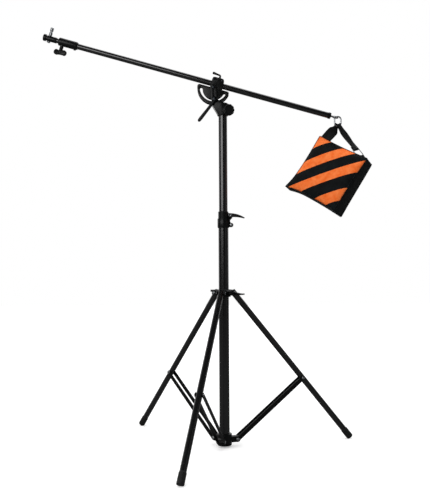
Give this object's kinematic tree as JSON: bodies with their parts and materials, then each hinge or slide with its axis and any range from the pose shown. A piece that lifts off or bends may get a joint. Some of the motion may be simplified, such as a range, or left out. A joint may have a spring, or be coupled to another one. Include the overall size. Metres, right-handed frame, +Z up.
{
  "type": "overhead boom stand",
  "caption": "Folding tripod stand with a telescoping column, a slotted tilt head, a telescoping overhead boom with a stud at its tip, and a counterweight bag on a rear ring.",
  "frame": {"origin": "centre of the bounding box's underside, on the floor", "axes": "+Z up, +X towards the boom's rear end with the bag, -Y towards the person at the locks"},
  "size_m": [1.1456, 0.8006, 1.454],
  "materials": {
    "black_tube": "satin black",
    "black_steel": "satin black",
    "casting": "matte black",
    "rubber": "matte black",
    "zinc": "zinc plated",
    "nylon": "woven nylon"
  },
  "bodies": {
    "base": {"base_hub": "casting", "base_end_cap": "casting", "lower_column_tube": "black_tube", "base_rivet_1": "zinc", "base_rivet_2": "zinc", "base_rivet_3": "zinc", "column_clamp": "casting", "column_clamp_bolt": "zinc"},
    "column_lever_body": {"column_lever": "casting", "column_lever_screw": "zinc"},
    "collar": {"spreader_collar": "casting", "leg_rivet_1": "zinc", "leg_rivet_2": "zinc", "leg_rivet_3": "zinc"},
    "collar_lever_body": {"collar_lever": "casting", "collar_lever_screw": "zinc"},
    "leg_body_1": {"leg_1": "black_tube", "foot_1": "rubber"},
    "strut_body_1": {"strut_1_left": "black_steel", "strut_1_right": "black_steel"},
    "leg_body_2": {"leg_2": "black_tube", "foot_2": "rubber"},
    "strut_body_2": {"strut_2_left": "black_steel", "strut_2_right": "black_steel"},
    "leg_body_3": {"leg_3": "black_tube", "foot_3": "rubber"},
    "strut_body_3": {"strut_3_left": "black_steel", "strut_3_right": "black_steel"},
    "upper_column": {"upper_column_tube": "black_tube", "upper_tube_guide": "casting"},
    "head": {"fork_head": "casting", "pivot_bolt": "zinc"},
    "round_knob_body": {"round_knob": "casting", "round_knob_screw": "zinc"},
    "tilt_lever_body": {"tilt_lever": "casting", "slot_bolt": "zinc", "slot_spacer": "zinc"},
    "tilt_head": {"tilt_plate_front": "black_steel", "tilt_plate_back": "black_steel", "boom_saddle": "casting", "boom_cap": "casting", "brake_pad": "rubber", "cap_screw_left": "zinc", "cap_screw_right": "zinc"},
    "boom_lever_body": {"boom_lock_lever": "casting"},
    "boom": {"boom_tube": "black_tube", "boom_front_collar": "casting", "rear_plug": "casting", "rear_eye": "zinc"},
    "wing_knob_body": {"wing_knob": "casting", "wing_knob_screw": "zinc"},
    "extension": {"boom_inner_tube": "black_tube", "tip_fitting": "casting", "tip_stud": "zinc", "tip_stud_nut": "zinc"},
    "ring": {"hang_ring": "zinc"},
    "bag": {"sandbag": "nylon", "bag_strap": "nylon", "strap_keeper": "zinc"}
  },
  "joints": [
    {"name": "collar_slide", "type": "slide", "parent": "base", "child": "collar", "axis": [0, 0, 1], "range_m": [0, 0.1995]},
    {"name": "leg_fold_1", "type": "hinge", "parent": "collar", "child": "leg_body_1", "pos_m": [0.0885, 0.06235, 0.5255], "axis": [-0.2351, 0.972, 0], "range_deg": [0, 36.95]},
    {"name": "strut_fold_1", "type": "hinge", "parent": "base", "child": "strut_body_1", "pos_m": [0.09627, 0.06423, 0.0253], "axis": [0.2351, -0.972, 0], "range_deg": [0, 48.5]},
    {"name": "leg_fold_2", "type": "hinge", "parent": "collar", "child": "leg_body_2", "pos_m": [0.02868, 0.07995, 0.5255], "axis": [-0.7242, -0.6896, 0], "range_deg": [0, 36.95]},
    {"name": "strut_fold_2", "type": "hinge", "parent": "base", "child": "strut_body_2", "pos_m": [0.02316, 0.08575, 0.0253], "axis": [0.7242, 0.6896, 0], "range_deg": [0, 48.5]},
    {"name": "leg_fold_3", "type": "hinge", "parent": "collar", "child": "leg_body_3", "pos_m": [0.04334, 0.01935, 0.5255], "axis": [0.9593, -0.2823, 0], "range_deg": [0, 36.95]},
    {"name": "strut_fold_3", "type": "hinge", "parent": "base", "child": "strut_body_3", "pos_m": [0.04108, 0.01167, 0.0253], "axis": [-0.9593, 0.2823, 0], "range_deg": [0, 48.5]},
    {"name": "collar_lever_turn", "type": "hinge", "parent": "collar", "child": "collar_lever_body", "pos_m": [0.07902, 0.02709, 0.5255], "axis": [-0.7242, -0.6896, 0], "range_deg": [0, 90]},
    {"name": "column_slide", "type": "slide", "parent": "base", "child": "upper_column", "axis": [0, 0, 1], "range_m": [-0.325, 0.29]},
    {"name": "column_lever_turn", "type": "hinge", "parent": "base", "child": "column_lever_body", "pos_m": [0.07651, 0.05388, 0.793], "axis": [0, -1, 0], "range_deg": [0, 85]},
    {"name": "head_pan", "type": "hinge", "parent": "upper_column", "child": "head", "pos_m": [0.05351, 0.05388, 1.152], "axis": [0, 0, 1], "continuous": true},
    {"name": "round_knob_turn", "type": "hinge", "parent": "head", "child": "round_knob_body", "pos_m": [0.05351, 0.05388, 1.152], "axis": [0.4226, -0.9063, 0], "continuous": true},
    {"name": "boom_tilt", "type": "hinge", "parent": "head", "child": "tilt_head", "pos_m": [0.02251, 0.05388, 1.237], "axis": [0, 1, 0], "range_deg": [-45, 34]},
    {"name": "tilt_lever_turn", "type": "hinge", "parent": "head", "child": "tilt_lever_body", "pos_m": [0.02622, 0.05388, 1.19366], "axis": [0, -1, 0], "range_deg": [-60, 55]},
    {"name": "boom_slide", "type": "slide", "parent": "tilt_head", "child": "boom", "axis": [0.9622, 0, -0.2723], "range_m": [-0.1, 0.45]},
    {"name": "boom_lever_turn", "type": "hinge", "parent": "tilt_head", "child": "boom_lever_body", "pos_m": [0.03309, 0.05388, 1.23401], "axis": [0.2723, 0, 0.9622], "range_deg": [-90, 90]},
    {"name": "boom_extend", "type": "slide", "parent": "boom", "child": "extension", "axis": [-0.9622, 0, 0.2723], "range_m": [0, 0.75]},
    {"name": "wing_knob_turn", "type": "hinge", "parent": "boom", "child": "wing_knob_body", "pos_m": [-0.50257, 0.05388, 1.40138], "axis": [-0.2723, 0, -0.9622], "continuous": true},
    {"name": "ring_swing", "type": "hinge", "parent": "boom", "child": "ring", "pos_m": [0.4532, 0.05388, 1.13092], "axis": [0, 1, 0], "range_deg": [-34.5, 45.5]},
    {"name": "bag_swing", "type": "hinge", "parent": "ring", "child": "bag", "pos_m": [0.4532, 0.05388, 1.11392], "axis": [0, 1, 0], "range_deg": [-15, 15]}
  ],
  "couplings": [
    {"joint": "leg_fold_1", "follows": "collar_slide", "rad_per_m": 3.2273},
    {"joint": "strut_fold_1", "follows": "collar_slide", "rad_per_m": 4.2383},
    {"joint": "leg_fold_2", "follows": "collar_slide", "rad_per_m": 3.2273},
    {"joint": "strut_fold_2", "follows": "collar_slide", "rad_per_m": 4.2383},
    {"joint": "leg_fold_3", "follows": "collar_slide", "rad_per_m": 3.2273},
    {"joint": "strut_fold_3", "follows": "collar_slide", "rad_per_m": 4.2383},
    {"joint": "ring_swing", "follows": "boom_tilt", "ratio": -1}
  ]
}
